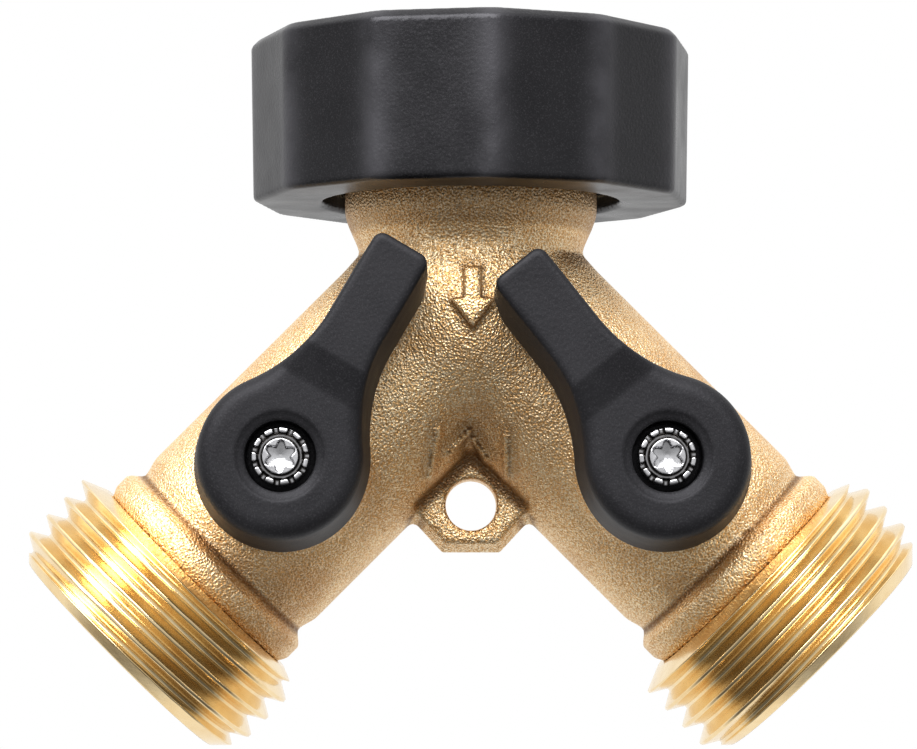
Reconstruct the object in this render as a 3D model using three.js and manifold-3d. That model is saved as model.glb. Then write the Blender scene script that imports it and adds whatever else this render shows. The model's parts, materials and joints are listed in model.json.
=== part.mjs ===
// Two-way brass garden hose splitter with two ball valves.
// Millimetres, +Z up. The origin is the centre of the inlet sealing plane, +Z runs up the inlet axis
// toward the tap, +X runs across the two legs and the handles face -Y.
import * as THREE from 'three';
import { mergeVertices } from 'three/addons/utils/BufferGeometryUtils.js';
import Module from 'manifold-3d';

const wasm = await Module();
wasm.setup();

const TAU = Math.PI * 2;
const rad = (degrees) => (degrees * Math.PI) / 180;

// ---- driving dimensions ------------------------------------------------------------------------
// Garden hose thread, 3/4-11.5 GHT.
const pitch = 25.4 / 11.5;
const maleCrest = 13.49;
const maleRoot = 12.05;
const femaleCrest = 12.4;
const femaleRoot = 13.75;
const gap = 0.3;

// Body. Heights named "up" are measured from the junction of the three axes.
const legTilt = 45;
const tubeRadius = 10.2;
const inletSealUp = 17.3;
const junctionZ = -inletSealUp;
const neckTopUp = 14.6;
const neckRadius = 9.6;
const grooveUp = 12.7;
const neckBore = 7.2;
const shoulderRadius = 11.6;
const shoulderUp = 10.9;
const waistRadius = 10.3;
const waistUp = 4.6;
const lugHoleUp = -18.3;
const lugBottomUp = -22.5;

// Distances named "along" are measured down a leg from the junction.
const ballAlong = 22.15;
const valveOffset = 1.1;
const stemX = (ballAlong + valveOffset) * Math.SQRT1_2;
const stemUp = (valveOffset - ballAlong) * Math.SQRT1_2;
const collarAlong = 32.6;
const collarRadius = 10.9;
const threadAlong = 35.3;
const threadFrom = 36.15;
const threadTo = 43.9;
const legEndAlong = 44.7;
const passageRadius = 5.4;
const chamberRadius = 7.8;
const outletRadius = 9.5;
const ballRadius = 7.4;
const ballBore = 4.5;
const seatNear = 4.4;
const seatFar = 8.2;
const seatRadius = 7.5;
const retainerStart = ballAlong + seatFar + gap;
const retainerEnd = 36.4;
const retainerHex = 5.0;

// Depths are measured from the plane of the legs toward the handles (-Y).
const slotDepth = 5.4;
const tangDepth = 5.7;
const flangeDepth = 8.0;
const flangeTop = 9.3;
const thrustDepth = 9.6;
const thrustTop = 10.3;
const pocketTop = 10.6;
const glandBaseTop = 12.3;
const glandNeckTop = 16.0;
const stopStepDepth = 15.0;
const flatsDepth = 16.3;
const stemEndDepth = 17.9;
const skirtDepth = 12.7;
const cavityTop = 16.5;
const socketTop = 18.2;
const webTop = 18.9;
const washerDepth = 19.2;
const headDepth = 20.0;
const headTop = 21.4;
const bossFace = 22.0;
const armFace = 23.0;

const glandBaseRadius = 7.0;
const glandNeckRadius = 5.6;
const stopStepRadius = 4.9;
const glandBore = 4.1;
const shaftRadius = 3.8;
const grooveRadius = 2.3;
const ringCentres = [12.0, 14.4];
const ringSection = 0.7;

// Handles. "u" runs up the arm from the stem axis, the draft widens them toward the body.
const bossRadius = 6.9;
const armHalf = 2.35;
const armStraightFrom = 13.0;
const armTip = 20.8;
const handleDraft = 0.75;
const openAngle = 39;
const restAngle = { left: 30.5, right: -38.3 };

// Swivel nut.
const nutBottomUp = 9.15;
const nutTopUp = 24.0;
const nutCorner = 20.15;
const nutSides = 12;
const nutPhase = 4.6;
const nutHole = 13.5;
const gripBore = 15.9;
const insertRadius = 15.6;
const insertBottomUp = 11.2;
const insertTopUp = 23.6;
const flangeHeight = 1.4;

// ---- helpers -----------------------------------------------------------------------------------
const point = (x, y) => new THREE.Vector2(x, y);

// Turns a closed three.js geometry into a manifold solid that faces outward.
function solid(geometry) {
  const bare = geometry.clone();
  bare.deleteAttribute('normal');
  bare.deleteAttribute('uv');
  const welded = mergeVertices(bare, 1e-4);
  const position = welded.attributes.position;
  const index = welded.index.array;
  const a = new THREE.Vector3();
  const b = new THREE.Vector3();
  const c = new THREE.Vector3();
  const triangles = [];
  let volume = 0;
  for (let i = 0; i < index.length; i += 3) {
    const [i0, i1, i2] = [index[i], index[i + 1], index[i + 2]];
    if (i0 === i1 || i1 === i2 || i0 === i2) continue;
    a.fromBufferAttribute(position, i0);
    b.fromBufferAttribute(position, i1);
    c.fromBufferAttribute(position, i2);
    volume += a.dot(b.cross(c));
    triangles.push(i0, i1, i2);
  }
  if (volume < 0) triangles.reverse();
  return new wasm.Manifold(new wasm.Mesh({
    numProp: 3,
    vertProperties: new Float32Array(position.array),
    triVerts: new Uint32Array(triangles),
  }));
}

function toGeometry(manifold) {
  const mesh = manifold.getMesh();
  const geometry = new THREE.BufferGeometry();
  geometry.setAttribute('position', new THREE.BufferAttribute(new Float32Array(mesh.vertProperties), 3));
  geometry.setIndex(new THREE.BufferAttribute(new Uint32Array(mesh.triVerts), 1));
  const flat = geometry.toNonIndexed();
  flat.computeVertexNormals();
  return flat;
}

// Revolves [radius, height] points about Z. Rings repeat their first point at the end.
function revolve(profile, segments = 28) {
  const points = profile.map(([radius, height]) => point(radius, height));
  return new THREE.LatheGeometry(points, segments).rotateX(Math.PI / 2);
}

const ring = (inner, outer, low, high, segments) => revolve(
  [[inner, low], [outer, low], [outer, high], [inner, high], [inner, low]], segments);

const rod = (radius, low, high, segments) => revolve(
  [[0, low], [radius, low], [radius, high], [0, high]], segments);

// Skins a stack of equal-length loops and closes both ends with a fan.
function loft(loops) {
  const count = loops[0].length;
  const vertices = loops.flat().flatMap((vertex) => [vertex.x, vertex.y, vertex.z]);
  const index = [];
  for (let level = 0; level < loops.length - 1; level += 1) {
    for (let i = 0; i < count; i += 1) {
      const low = level * count + i;
      const lowNext = level * count + ((i + 1) % count);
      index.push(low, lowNext, lowNext + count, low, lowNext + count, low + count);
    }
  }
  [loops[0], loops.at(-1)].forEach((loop, end) => {
    const centre = loop.reduce((sum, vertex) => sum.add(vertex), new THREE.Vector3()).divideScalar(count);
    const hub = vertices.length / 3;
    const base = end === 0 ? 0 : (loops.length - 1) * count;
    vertices.push(centre.x, centre.y, centre.z);
    for (let i = 0; i < count; i += 1) {
      const here = base + i;
      const next = base + ((i + 1) % count);
      if (end === 0) index.push(hub, next, here);
      else index.push(hub, here, next);
    }
  });
  const geometry = new THREE.BufferGeometry();
  geometry.setAttribute('position', new THREE.Float32BufferAttribute(vertices, 3));
  geometry.setIndex(index);
  return geometry;
}

// A helical 60 degree ridge about Z, faded at both ends. It runs from baseRadius out to crestRadius.
function threadRidge(baseRadius, crestRadius, start, end, segments) {
  const turns = (end - start) / pitch;
  const steps = Math.round(turns * segments);
  const fade = Math.round(segments / 5);
  const crestHalf = 0.15;
  const depth = crestRadius - baseRadius;
  const baseHalf = crestHalf + Math.abs(depth) * Math.tan(rad(29));
  const loops = [];
  for (let i = 0; i <= steps; i += 1) {
    const angle = (i / segments) * TAU;
    const height = start + (i / segments) * pitch;
    const full = Math.min(1, (i + 0.6) / fade, (steps - i + 0.6) / fade);
    const radius = baseRadius + depth * full;
    const at = (r, offset) => new THREE.Vector3(r * Math.cos(angle), r * Math.sin(angle), height + offset);
    loops.push([
      at(baseRadius, -baseHalf * full),
      at(radius, -crestHalf * full),
      at(radius, crestHalf * full),
      at(baseRadius, baseHalf * full),
    ]);
  }
  return loft(loops);
}

// A sector of a ring about Z, centred on the given direction in degrees from +X.
function sector(inner, outer, low, high, centre, halfSpan) {
  const shape = new THREE.Shape();
  shape.absarc(0, 0, outer, rad(centre - halfSpan), rad(centre + halfSpan), false);
  shape.absarc(0, 0, inner, rad(centre + halfSpan), rad(centre - halfSpan), true);
  shape.closePath();
  return new THREE.ExtrudeGeometry(shape, { depth: high - low, bevelEnabled: false, curveSegments: 12 })
    .translate(0, 0, low);
}

const slab = (width, length, low, high) => new THREE.BoxGeometry(width, length, high - low)
  .translate(0, 0, (low + high) / 2);

const sideSign = (side) => (side === 'left' ? -1 : 1);

// Places geometry built down +Z from the junction onto a leg.
const onLeg = (geometry, side) => geometry
  .rotateY(sideSign(side) * rad(180 - legTilt))
  .translate(0, 0, junctionZ);

// The valve chamber runs parallel to the leg, a little toward its upper side.
const onValve = (geometry, side) => onLeg(geometry.translate(-sideSign(side) * valveOffset, 0, 0), side);

// Places geometry built out along +Z from the plane of the legs onto a stem axis, turned by an angle
// that is positive when the top swings toward +X.
const onStem = (geometry, side, angle = 0) => geometry
  .rotateX(Math.PI / 2)
  .rotateY(rad(angle))
  .translate(sideSign(side) * stemX, 0, junctionZ + stemUp);

const onNeck = (geometry) => geometry.translate(0, 0, junctionZ);

// ---- materials ---------------------------------------------------------------------------------
const material = (color, roughness, metalness) => () => (
  new THREE.MeshStandardMaterial({ color, roughness, metalness }));
const castBrass = material(0xb5935c, 0.55, 1.0);
const brass = material(0xd2ab58, 0.25, 1.0);
const chrome = material(0xd8dadd, 0.12, 1.0);
const steel = material(0xc4c6c8, 0.3, 1.0);
const springSteel = material(0x8d9094, 0.35, 1.0);
const rubber = material(0x17181a, 0.8, 0.0);
const ptfe = material(0xeeeae0, 0.5, 0.0);
const blackPlastic = material(0x222325, 0.5, 0.0);

const group = new THREE.Group();
group.name = 'hose_splitter';

function addNode(name, shape, makeMaterial) {
  const mesh = new THREE.Mesh(toGeometry(shape), makeMaterial());
  mesh.name = name;
  group.add(mesh);
}

// ---- valve body --------------------------------------------------------------------------------
function neckShape() {
  const dome = [];
  for (let i = 0; i <= 4; i += 1) {
    const angle = rad(-90 + i * 22.5);
    dome.push([tubeRadius * Math.cos(angle), tubeRadius * Math.sin(angle)]);
  }
  dome[0][0] = 0;
  const ringGroove = 8.8;
  return onNeck(revolve([
    ...dome,
    [waistRadius, waistUp],
    [waistRadius + 0.3, waistUp + 1.4],
    [shoulderRadius - 0.4, waistUp + 2.6],
    [shoulderRadius, waistUp + 3.6],
    [shoulderRadius, shoulderUp - 0.3],
    [shoulderRadius - 0.3, shoulderUp],
    [neckRadius, shoulderUp],
    [neckRadius, grooveUp],
    [ringGroove, grooveUp],
    [ringGroove, grooveUp + 1.2],
    [neckRadius, grooveUp + 1.2],
    [neckRadius, neckTopUp - 0.2],
    [neckRadius - 0.2, neckTopUp],
    [0, neckTopUp],
  ], 32));
}

function legShape(side) {
  const core = solid(revolve([
    [0, 0],
    [tubeRadius, 0],
    [tubeRadius, collarAlong],
    [collarRadius - 0.25, collarAlong + 0.25],
    [collarRadius, collarAlong + 0.8],
    [collarRadius, threadAlong - 0.7],
    [collarRadius - 0.3, threadAlong - 0.15],
    [maleRoot, threadAlong - 0.15],
    [maleRoot, legEndAlong - 0.4],
    [maleRoot - 0.4, legEndAlong],
    [0, legEndAlong],
  ], 24));
  const ridge = solid(threadRidge(maleRoot - 0.3, maleCrest, threadFrom, threadTo, 24));
  return solid(onLeg(toGeometry(core.add(ridge)), side));
}

function glandShape(side) {
  return onStem(revolve([
    [0, 2],
    [glandBaseRadius + 0.4, 2],
    [glandBaseRadius, glandBaseTop - 0.3],
    [glandBaseRadius - 0.3, glandBaseTop],
    [glandNeckRadius, glandBaseTop],
    [glandNeckRadius, glandNeckTop],
    [0, glandNeckTop],
  ], 24), side);
}

// Hanging lug between the legs: a bevelled plate whose upper part runs into both tubes.
function lugShape() {
  const half = 2.3;
  const outline = (inset) => [
    [-9.5, -14.0], [-5.1 + inset, -19.8], [-2.6 + inset * 0.5, lugBottomUp + inset],
    [2.6 - inset * 0.5, lugBottomUp + inset], [5.1 - inset, -19.8], [9.5, -14.0], [0, -9.0],
  ];
  const loop = (inset, y) => outline(inset).map(([x, up]) => new THREE.Vector3(x, y, up));
  const plate = onNeck(loft([loop(0.8, half), loop(0, 0.4), loop(0, -0.4), loop(0.8, -half)]));
  const hole = onNeck(rod(2.3, -4, 4, 24).rotateX(Math.PI / 2).translate(0, 0, lugHoleUp));
  return solid(plate).subtract(solid(hole));
}

// Web that fills the inside corner of the legs above the lug.
function crotchShape() {
  const loop = (y, drop) => [
    new THREE.Vector3(-6, y, -11), new THREE.Vector3(0, y, -drop), new THREE.Vector3(6, y, -11),
    new THREE.Vector3(0, y, -6),
  ];
  return solid(onNeck(loft([loop(5.4, 12.4), loop(3.4, 15.4), loop(-3.4, 15.4), loop(-5.4, 12.4)])));
}

// Raised flow arrow on the front, between the handles, pointing down toward the outlets.
function arrowShape() {
  const shape = new THREE.Shape([
    point(-0.7, 2.6), point(-0.7, -0.2), point(-1.9, -0.2), point(0, -2.6), point(1.9, -0.2),
    point(0.7, -0.2), point(0.7, 2.6),
  ]);
  const raised = new THREE.ExtrudeGeometry(shape, { depth: 1.6, bevelEnabled: false });
  return solid(onNeck(raised.rotateX(Math.PI / 2).translate(0, -9.2, -0.4)));
}

function legBores(side) {
  const chamber = revolve([
    [0, -1],
    [passageRadius, -1],
    [passageRadius, ballAlong - seatFar - gap],
    [chamberRadius, ballAlong - seatFar - gap],
    [chamberRadius, retainerEnd + gap],
    [0, retainerEnd + gap],
  ], 28);
  const outlet = revolve([
    [0, retainerEnd],
    [outletRadius, retainerEnd],
    [outletRadius, legEndAlong - 0.5],
    [outletRadius + 0.6, legEndAlong + 0.1],
    [outletRadius + 0.6, legEndAlong + 1],
    [0, legEndAlong + 1],
  ], 28);
  const gland = revolve([
    [0, 3],
    [5.0, 3],
    [5.0, pocketTop],
    [glandBore, pocketTop],
    [glandBore, glandNeckTop + 1],
    [0, glandNeckTop + 1],
  ], 24);
  return solid(onValve(chamber, side)).add(solid(onLeg(outlet, side))).add(solid(onStem(gland, side)));
}

// The handle's inner tab runs in this step of the gland neck, which stops it after a quarter turn.
const stopTabHalf = 20;
const stopMargin = 3;
const midAngle = (side) => -sideSign(side) * (openAngle - 45);

function stopStep(side) {
  const centre = 270 - midAngle(side);
  const halfSpan = 45 + stopTabHalf + stopMargin;
  return solid(onStem(sector(stopStepRadius, 7, stopStepDepth, glandNeckTop + 1, centre, halfSpan), side));
}

function buildBody() {
  const inletBore = solid(onNeck(rod(neckBore, -3, neckTopUp + 1, 28)));
  let body = solid(neckShape()).add(lugShape()).add(crotchShape()).add(arrowShape());
  for (const side of ['left', 'right']) body = body.add(legShape(side)).add(solid(glandShape(side)));
  body = body.subtract(inletBore);
  for (const side of ['left', 'right']) body = body.subtract(legBores(side)).subtract(stopStep(side));
  addNode('valve_body', body, castBrass);
}

// ---- swivel nut --------------------------------------------------------------------------------
// One level of the grip: a twelve-sided outline with softly rounded corners.
function gripLoop(cornerRadius, up) {
  const rounding = 2.6;
  const sideAngle = 360 / nutSides;
  const apothem = cornerRadius * Math.cos(rad(sideAngle / 2));
  const roundCentre = (apothem - rounding) / Math.cos(rad(sideAngle / 2));
  const loop = [];
  for (let corner = 0; corner < nutSides; corner += 1) {
    const facing = nutPhase - 90 + corner * sideAngle;
    for (const turn of [-15, 0, 15]) {
      const x = roundCentre * Math.cos(rad(facing)) + rounding * Math.cos(rad(facing + turn));
      const y = roundCentre * Math.sin(rad(facing)) + rounding * Math.sin(rad(facing + turn));
      loop.push(new THREE.Vector3(x, y, up));
    }
  }
  return loop;
}

function buildNut() {
  const outside = solid(onNeck(loft([
    gripLoop(nutCorner - 1.0, nutBottomUp),
    gripLoop(nutCorner - 0.45, nutBottomUp + 0.35),
    gripLoop(nutCorner - 0.25, nutBottomUp + 1.0),
    gripLoop(nutCorner, nutTopUp - 0.9),
    gripLoop(nutCorner - 0.25, nutTopUp - 0.25),
    gripLoop(nutCorner - 0.7, nutTopUp),
  ])));
  const inside = solid(onNeck(revolve([
    [0, nutBottomUp - 1],
    [nutHole, nutBottomUp - 1],
    [nutHole, insertBottomUp - gap],
    [gripBore, insertBottomUp - gap],
    [gripBore, nutTopUp - 0.3],
    [gripBore + 0.4, nutTopUp + 0.1],
    [gripBore + 0.4, nutTopUp + 1],
    [0, nutTopUp + 1],
  ], 36)));
  addNode('nut_grip', outside.subtract(inside), blackPlastic);

  const flangeTopUp = insertBottomUp + flangeHeight;
  const shell = solid(onNeck(revolve([
    [neckRadius + gap, insertBottomUp],
    [insertRadius, insertBottomUp],
    [insertRadius, insertTopUp],
    [femaleRoot + 0.5, insertTopUp],
    [femaleRoot, insertTopUp - 0.6],
    [femaleRoot, inletSealUp - 0.3],
    [12.9, inletSealUp - 0.3],
    [12.9, flangeTopUp],
    [neckRadius + gap, flangeTopUp],
    [neckRadius + gap, insertBottomUp],
  ], 30)));
  const ridge = solid(onNeck(threadRidge(femaleRoot + 0.25, femaleCrest, inletSealUp + 1.0, insertTopUp - 1.2, 24)));
  addNode('nut_insert', shell.add(ridge), brass);

  // The snap ring is split, so it can be sprung over the neck.
  const closedRing = solid(onNeck(ring(9.1, 10.6, grooveUp + 0.2, grooveUp + 1.0, 24)));
  const split = solid(onNeck(slab(2.4, 4, 12, 15).translate(0, 10, 0)));
  addNode('nut_snap_ring', closedRing.subtract(split), springSteel);

  addNode('inlet_washer', solid(onNeck(revolve([
    [7.0, neckTopUp + gap], [12.3, neckTopUp + gap], [12.6, neckTopUp + gap + 0.3],
    [12.6, inletSealUp - 0.3], [12.3, inletSealUp], [7.0, inletSealUp], [7.0, neckTopUp + gap],
  ], 24))), rubber);
}

// ---- valves ------------------------------------------------------------------------------------
// The ball's bore lies along the leg when the handle is at its open stop.
const boreAngle = (side) => restAngle[side] + sideSign(side) * (openAngle - legTilt);

function buildValve(side) {
  const bore = boreAngle(side);
  const ballShape = solid(new THREE.SphereGeometry(ballRadius, 20, 12).rotateX(Math.PI / 2))
    .subtract(solid(rod(ballBore, -9, 9, 18).rotateX(Math.PI / 2)))
    .subtract(solid(slab(9, 2.6, slotDepth, 9)));
  addNode(`${side}_ball`, solid(onStem(toGeometry(ballShape), side, bore)), chrome);

  // Seats follow the ball's sphere with a clearance.
  const hollow = ballRadius + gap;
  const sphereAt = (distance) => Math.sqrt(hollow * hollow - distance * distance);
  const seatProfile = (direction) => {
    const profile = [[ballBore, seatFar], [seatRadius, seatFar], [seatRadius, seatNear]];
    for (const distance of [seatNear, 5.3, 6.0]) profile.push([sphereAt(distance), distance]);
    profile.push([ballBore, Math.sqrt(hollow * hollow - ballBore * ballBore)], [ballBore, seatFar]);
    return profile.map(([radius, distance]) => [radius, ballAlong + direction * distance]);
  };
  addNode(`${side}_inner_seat`, solid(onValve(revolve(seatProfile(-1), 20), side)), ptfe);
  addNode(`${side}_outer_seat`, solid(onValve(revolve(seatProfile(1), 20), side)), ptfe);

  const retainer = solid(rod(seatRadius, retainerStart, retainerEnd, 28))
    .subtract(solid(rod(retainerHex, retainerStart - 1, retainerEnd + 1, 6)));
  addNode(`${side}_seat_retainer`, solid(onValve(toGeometry(retainer), side)), brass);

  const [firstRing, secondRing] = ringCentres;
  const stemTurned = solid(revolve([
    [0, flangeDepth],
    [4.6, flangeDepth],
    [4.6, flangeTop],
    [shaftRadius, flangeTop],
    [shaftRadius, firstRing - 0.95],
    [grooveRadius, firstRing - 0.95],
    [grooveRadius, firstRing + 0.95],
    [shaftRadius, firstRing + 0.95],
    [shaftRadius, secondRing - 0.95],
    [grooveRadius, secondRing - 0.95],
    [grooveRadius, secondRing + 0.95],
    [shaftRadius, secondRing + 0.95],
    [shaftRadius, flatsDepth],
    [3.3, flatsDepth],
    [3.3, stemEndDepth],
    [0, stemEndDepth],
  ], 20));
  const tang = solid(slab(7.4, 2.0, tangDepth, flangeDepth + 0.5));
  const cheek = (sign) => solid(slab(2, 9, flatsDepth, stemEndDepth + 1).translate(sign * 3.4, 0, 0));
  const tapped = solid(rod(1.5, 12.9, stemEndDepth + 1, 16));
  const turnedTang = solid(toGeometry(tang).rotateZ(-rad(bore - restAngle[side])));
  const stem = stemTurned.add(turnedTang).subtract(cheek(-1)).subtract(cheek(1)).subtract(tapped);
  addNode(`${side}_stem`, solid(onStem(toGeometry(stem), side, restAngle[side])), brass);

  addNode(`${side}_stem_thrust_washer`,
    solid(onStem(ring(shaftRadius + 0.25, 4.75, thrustDepth, thrustTop, 18), side)), ptfe);

  ringCentres.forEach((depth, which) => {
    const middle = (grooveRadius + glandBore) / 2;
    const loop = [];
    for (let i = 0; i <= 7; i += 1) {
      const angle = (i / 7) * TAU;
      loop.push([middle + ringSection * Math.cos(angle), depth + ringSection * Math.sin(angle)]);
    }
    const name = `${side}_stem_o_ring_${which === 0 ? 'inner' : 'outer'}`;
    addNode(name, solid(onStem(revolve(loop, 16), side)), rubber);
  });
}

// ---- handles -----------------------------------------------------------------------------------
// Teardrop outline widened by "grow": a boss circle, two concave flares and a straight arm. The tip
// only shrinks, where its front edge is rounded, because it has no draft.
function handleOutline(grow) {
  const boss = bossRadius + grow;
  const half = armHalf + grow;
  const tip = armTip + Math.min(0, grow);
  const flare = ((armStraightFrom ** 2) / (boss - half) - (boss + half)) / 2;
  const meet = Math.atan2(armStraightFrom, half + flare);
  const corner = 1.0;
  const shape = new THREE.Shape();
  shape.absarc(0, 0, boss, Math.PI - meet, TAU + meet, false);
  shape.absarc(half + flare, armStraightFrom, flare, Math.PI + meet, Math.PI, true);
  shape.absarc(half - corner, tip - corner, corner, 0, Math.PI / 2, false);
  shape.absarc(-half + corner, tip - corner, corner, Math.PI / 2, Math.PI, false);
  shape.absarc(-half - flare, armStraightFrom, flare, 0, -meet, true);
  return shape;
}

// The same number of points for every outline, so that the levels can be skinned together.
function handleLoop(grow, depth) {
  const arcSteps = [16, 5, 3, 3, 5];
  const arcs = handleOutline(grow).curves.filter((curve) => curve.isEllipseCurve);
  const points = arcs.flatMap((arc, which) => arc.getPoints(arcSteps[which]));
  // The skirt reaches a little lower at the back than at the front.
  const sag = Math.max(0, grow) * 0.5;
  return points.map((p) => new THREE.Vector3(p.x, p.y - (p.y < armStraightFrom / 2 ? sag : 0), depth));
}

function buildHandle(side) {
  const levels = [
    [handleDraft - 0.2, skirtDepth],
    [handleDraft, skirtDepth + 0.3],
    [0.05, armFace - 0.6],
    [-0.15, armFace - 0.2],
    [-0.5, armFace],
  ];
  let shape = solid(loft(levels.map(([grow, depth]) => handleLoop(grow, depth))));

  // The boss face lies below the arm's face, with a short ramp between them.
  const rampStart = 6.6;
  const rampEnd = 9.6;
  const rampLoop = (x) => [
    new THREE.Vector3(x, -12, bossFace), new THREE.Vector3(x, rampStart, bossFace),
    new THREE.Vector3(x, rampEnd, armFace), new THREE.Vector3(x, rampEnd, armFace + 2),
    new THREE.Vector3(x, -12, armFace + 2),
  ];
  shape = shape.subtract(solid(loft([rampLoop(-12), rampLoop(12)])));

  const cavity = solid(rod(5.95, skirtDepth - 1, cavityTop, 28));
  const recess = solid(revolve([
    [0, webTop], [2.8, webTop], [2.8, bossFace - 0.35], [3.45, bossFace + 0.02],
    [3.45, bossFace + 2], [0, bossFace + 2],
  ], 24));
  const screwHole = solid(rod(1.6, socketTop - 1, webTop + 1, 16));
  const socket = solid(rod(3.6, cavityTop - 1, socketTop, 20))
    .intersect(solid(slab(5.4, 9, cavityTop - 2, socketTop)));
  const core = (low, high) => solid(slab(2.9, high - low, skirtDepth - 1, 20.6)
    .translate(0, (low + high) / 2, 0));
  shape = shape.subtract(cavity).subtract(recess).subtract(screwHole).subtract(socket)
    .subtract(core(9.0, 13.6)).subtract(core(14.8, 19.2));
  const tab = solid(sector(stopStepRadius + 0.25, 6.3, stopStepDepth + 0.25, cavityTop + 0.3, 270, stopTabHalf));
  shape = shape.add(tab);
  addNode(`${side}_handle`, solid(onStem(toGeometry(shape), side, restAngle[side])), blackPlastic);

  // Screw: knurled head with a hexagon socket.
  const head = new THREE.Shape();
  const teeth = 12;
  for (let i = 0; i < teeth * 2; i += 1) {
    const radius = i % 2 === 0 ? 2.45 : 2.2;
    const angle = ((i + 0.5) / (teeth * 2)) * TAU;
    const corner = point(radius * Math.cos(angle), radius * Math.sin(angle));
    if (i === 0) head.moveTo(corner.x, corner.y);
    else head.lineTo(corner.x, corner.y);
  }
  head.closePath();
  const headShape = solid(new THREE.ExtrudeGeometry(head, { depth: headTop - headDepth, bevelEnabled: false })
    .translate(0, 0, headDepth));
  const screw = headShape
    .add(solid(rod(1.2, 13.3, headDepth + 0.3, 14)))
    .subtract(solid(rod(1.45, headTop - 0.95, headTop + 1, 6)));
  addNode(`${side}_handle_screw`, solid(onStem(toGeometry(screw), side, restAngle[side])), steel);

  const washer = onStem(ring(1.5, 2.45, washerDepth, washerDepth + 0.5, 20), side);
  addNode(`${side}_handle_lock_washer`, solid(washer), steel);
}

buildBody();
buildNut();
for (const side of ['left', 'right']) {
  buildValve(side);
  buildHandle(side);
}

export default group;
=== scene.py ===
"""Looks of the brass hose splitter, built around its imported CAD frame.

The detailed pieces are surfaces of signed distance fields. A field is a function of x, y, z in
millimetres, measured from the junction of the three axes, and is negative inside the piece.
"""
import json
import math

import bpy
import numpy as np
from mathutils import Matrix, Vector


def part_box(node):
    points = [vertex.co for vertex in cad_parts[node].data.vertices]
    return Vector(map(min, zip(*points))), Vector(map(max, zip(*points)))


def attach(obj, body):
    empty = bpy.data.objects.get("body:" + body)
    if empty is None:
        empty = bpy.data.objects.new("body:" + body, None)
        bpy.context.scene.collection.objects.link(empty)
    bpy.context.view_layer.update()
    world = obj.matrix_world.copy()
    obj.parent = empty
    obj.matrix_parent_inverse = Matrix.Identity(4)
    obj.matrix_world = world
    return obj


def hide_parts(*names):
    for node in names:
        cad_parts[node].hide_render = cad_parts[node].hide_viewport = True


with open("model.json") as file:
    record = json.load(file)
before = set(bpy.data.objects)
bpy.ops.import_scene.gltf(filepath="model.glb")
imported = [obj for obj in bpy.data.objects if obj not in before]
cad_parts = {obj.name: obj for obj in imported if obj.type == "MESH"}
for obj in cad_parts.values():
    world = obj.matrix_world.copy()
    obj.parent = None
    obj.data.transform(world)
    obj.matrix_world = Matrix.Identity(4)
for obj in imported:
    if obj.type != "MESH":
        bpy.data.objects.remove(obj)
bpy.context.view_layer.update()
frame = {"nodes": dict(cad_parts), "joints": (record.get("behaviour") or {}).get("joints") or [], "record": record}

MM = 0.001
Q = math.sqrt(0.5)
SIDES = {"left": -1.0, "right": 1.0}

# ---- places taken from the frame (millimetres) -------------------------------------------------
mounts = {mount["name"]: mount for mount in frame["record"]["mounts"]}
joints = {joint["name"]: joint for joint in frame["joints"]}

outlet = mounts["right_outlet_face"]["pos_m"]
LEG_END = outlet[0] / MM / Q
JUNCTION_Z = outlet[2] / MM + outlet[0] / MM
stem_place = joints["right_handle_turn"]["pos_m"]
STEM_X = stem_place[0] / MM
STEM_Z = stem_place[2] / MM - JUNCTION_Z
VALVE_OFFSET = (STEM_X + STEM_Z) * Q


def node_span(node, axis):
    """Lowest and highest coordinate of a CAD node along an axis, measured from the junction."""
    low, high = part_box(node)
    shift = JUNCTION_Z if axis == 2 else 0.0
    return low[axis] / MM - shift, high[axis] / MM - shift


NUT_BOTTOM, NUT_TOP = node_span("nut_grip", 2)
INSERT_BOTTOM, INSERT_TOP = node_span("nut_insert", 2)
WASHER_BOTTOM, WASHER_TOP = node_span("inlet_washer", 2)
SKIRT = -node_span("left_handle", 1)[1]
ARM_FACE = -node_span("left_handle", 1)[0]

# ---- sizes in millimetres, with places measured from the junction; angles in degrees ------------
# Most follow the CAD. The small ones (edges, tapers, notches) refine it for the visual model.

# cast body
TUBE_R = 10.2
JUNCTION_R = 11.0
JUNCTION_DROP = 1.6
WAIST_R = 10.0
WAIST_Z = 4.6
SHOULDER_R = 11.45
SHOULDER_Z = 10.9
NECK_R = 9.6
NECK_TOP = 14.6
GROOVE_R = 8.8
GROOVE_FROM = 12.7
GROOVE_TO = 13.9
DIP = 0.42
BEAD = 1.12
BEAD_FALL = 0.4
CREASE_ALONG = 31.95
GLAND_R = 7.0
GLAND_TOP = 12.3
GLAND_NECK_R = 5.6
GLAND_NECK_TOP = 16.0
LUG_HOLE_Z = -18.3
LUG_HOLE_R = 2.3
LUG_BOTTOM = -22.5
LUG_HALF = 2.3
LUG_DRAFT = 0.8
CREVICE_REACH = 0.8

# bores in the body
NECK_BORE = 7.2
NECK_BORE_BOTTOM = -3.0
PASSAGE_R = 5.4
CHAMBER_R = 7.8
CHAMBER_FROM = 13.65
CHAMBER_TO = 36.7
OUTLET_R = 9.5
POCKET_R = 5.0
POCKET_TOP = 10.6
GLAND_BORE = 4.1

# outlet threads
THREAD_PLANE = 35.3
THREAD_FROM = 36.15
THREAD_TO = 43.9
PITCH = 25.4 / 11.5
CREST_R = 13.49
CREST_HALF = 0.13
ROOT_R = 12.05
RUN_IN_R = 11.3
RUN_IN_SLOPE = 2.4
END_CHAMFER_R = 11.62

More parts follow.
